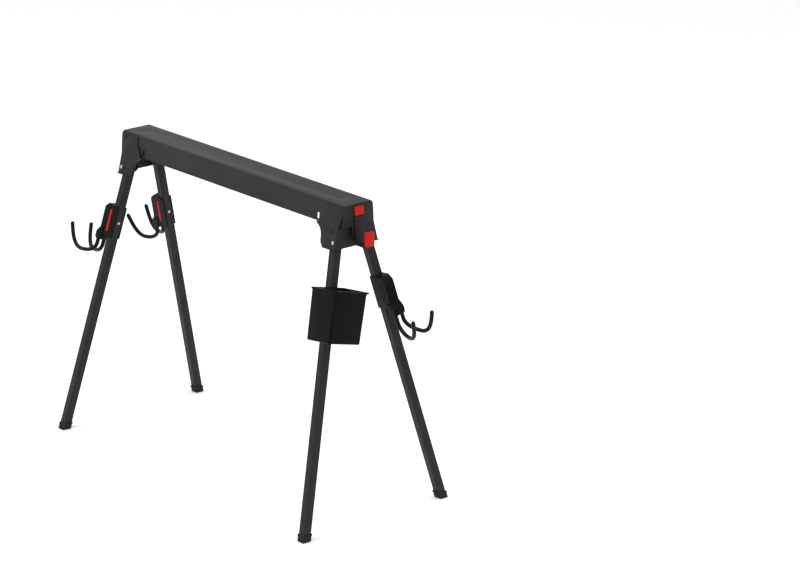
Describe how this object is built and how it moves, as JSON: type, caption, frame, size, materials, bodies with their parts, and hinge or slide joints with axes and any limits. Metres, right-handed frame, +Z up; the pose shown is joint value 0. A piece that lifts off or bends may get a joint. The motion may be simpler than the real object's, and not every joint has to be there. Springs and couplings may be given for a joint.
{
  "type": "folding sawhorse",
  "caption": "Folding steel sawhorse: open channel beam, splayed square legs that fold up beneath it, a lift-up lumber strap at each end, clip-on tool hooks and bin.",
  "frame": {"origin": "middle of the stance, on the floor", "axes": "+X along the beam, +Y across it, +Z up"},
  "size_m": [1.3438, 0.5334, 0.912],
  "materials": {
    "beam_paint": "satin black powder coat",
    "bracket_paint": "satin black powder coat",
    "leg_paint": "satin black powder coat",
    "strap_paint": "satin black powder coat",
    "zinc": "bright zinc plate",
    "pin_black": "black oxide",
    "rubber": "matt moulded rubber",
    "plug_plastic": "matt moulded",
    "hook_plastic": "satin moulded",
    "wire_coat": "smooth dipped coat",
    "bin_plastic": "gloss moulded",
    "red_plastic": "satin moulded"
  },
  "bodies": {
    "frame": {"beam": "beam_paint", "end_plate_right": "bracket_paint", "end_plate_left": "bracket_paint", "end_wall_right": "bracket_paint", "end_wall_left": "bracket_paint", "side_bracket_right_front": "bracket_paint", "side_bracket_right_rear": "bracket_paint", "side_bracket_left_front": "bracket_paint", "side_bracket_left_rear": "bracket_paint", "hinge_yoke_right": "bracket_paint", "hinge_yoke_left": "bracket_paint", "bracket_rivets_right": "pin_black", "bracket_rivets_left": "pin_black", "corner_rivets_right": "zinc", "corner_rivets_left": "zinc", "pivot_pin_right_front": "pin_black", "pivot_pin_right_rear": "pin_black", "pivot_pin_left_front": "pin_black", "pivot_pin_left_rear": "pin_black", "pivot_spacers_right": "zinc", "pivot_spacers_left": "zinc", "friction_washers_right": "zinc", "friction_washers_left": "zinc"},
    "leg_right_front": {"leg_tube_right_front": "leg_paint", "foot_right_front": "rubber", "leg_plug_right_front": "plug_plastic", "hinge_bush_right_front": "zinc", "clip_rivet_right_front": "zinc"},
    "leg_right_rear": {"leg_tube_right_rear": "leg_paint", "foot_right_rear": "rubber", "leg_plug_right_rear": "plug_plastic", "hinge_bush_right_rear": "zinc", "clip_rivet_right_rear": "zinc"},
    "leg_left_front": {"leg_tube_left_front": "leg_paint", "foot_left_front": "rubber", "leg_plug_left_front": "plug_plastic", "hinge_bush_left_front": "zinc", "clip_rivet_left_front": "zinc"},
    "leg_left_rear": {"leg_tube_left_rear": "leg_paint", "foot_left_rear": "rubber", "leg_plug_left_rear": "plug_plastic", "hinge_bush_left_rear": "zinc", "clip_rivet_left_rear": "zinc"},
    "strap_right": {"lumber_strap_right": "strap_paint", "strap_outer_tip_right": "red_plastic", "strap_inner_tip_right": "red_plastic"},
    "strap_left": {"lumber_strap_left": "strap_paint", "strap_outer_tip_left": "red_plastic", "strap_inner_tip_left": "red_plastic"},
    "hook_right_rear": {"hook_body_right_rear": "hook_plastic", "hook_wire_right_rear": "wire_coat", "hook_inlay_right_rear": "red_plastic"},
    "hook_left_front": {"hook_body_left_front": "hook_plastic", "hook_wire_left_front": "wire_coat", "hook_inlay_left_front": "red_plastic"},
    "hook_left_rear": {"hook_body_left_rear": "hook_plastic", "hook_wire_left_rear": "wire_coat", "hook_inlay_left_rear": "red_plastic"},
    "bin_right_front": {"tool_bin": "bin_plastic", "bin_clip": "bin_plastic"}
  },
  "joints": [
    {"name": "fold_right_front", "type": "hinge", "parent": "frame", "child": "leg_right_front", "pos_m": [0.478, -0.04472, 0.83], "axis": [0, 0.9703, -0.2419], "range_deg": [0, 96.6]},
    {"name": "fold_right_rear", "type": "hinge", "parent": "frame", "child": "leg_right_rear", "pos_m": [0.478, 0.04472, 0.83], "axis": [0, 0.9703, 0.2419], "range_deg": [0, 96.6]},
    {"name": "fold_left_front", "type": "hinge", "parent": "frame", "child": "leg_left_front", "pos_m": [-0.48124, -0.0515, 0.80283], "axis": [0, -0.9703, 0.2419], "range_deg": [0, 96.6]},
    {"name": "fold_left_rear", "type": "hinge", "parent": "frame", "child": "leg_left_rear", "pos_m": [-0.48124, 0.0515, 0.80283], "axis": [0, -0.9703, -0.2419], "range_deg": [0, 96.6]},
    {"name": "strap_lift_right", "type": "slide", "parent": "frame", "child": "strap_right", "axis": [0, 0, 1], "range_m": [0, 0.045]},
    {"name": "strap_lift_left", "type": "slide", "parent": "frame", "child": "strap_left", "axis": [0, 0, 1], "range_m": [0, 0.045]},
    {"name": "hook_off_right_rear", "type": "slide", "parent": "leg_right_rear", "child": "hook_right_rear", "axis": [0.9934, -0.0278, 0.1115], "range_m": [0, 0.12]},
    {"name": "hook_off_left_front", "type": "slide", "parent": "leg_left_front", "child": "hook_left_front", "axis": [-0.9934, 0.0278, 0.1115], "range_m": [0, 0.12]},
    {"name": "hook_off_left_rear", "type": "slide", "parent": "leg_left_rear", "child": "hook_left_rear", "axis": [-0.9934, -0.0278, 0.1115], "range_m": [0, 0.12]},
    {"name": "bin_off_right_front", "type": "slide", "parent": "leg_right_front", "child": "bin_right_front", "axis": [0.9934, 0.0278, 0.1115], "range_m": [0, 0.12]}
  ]
}
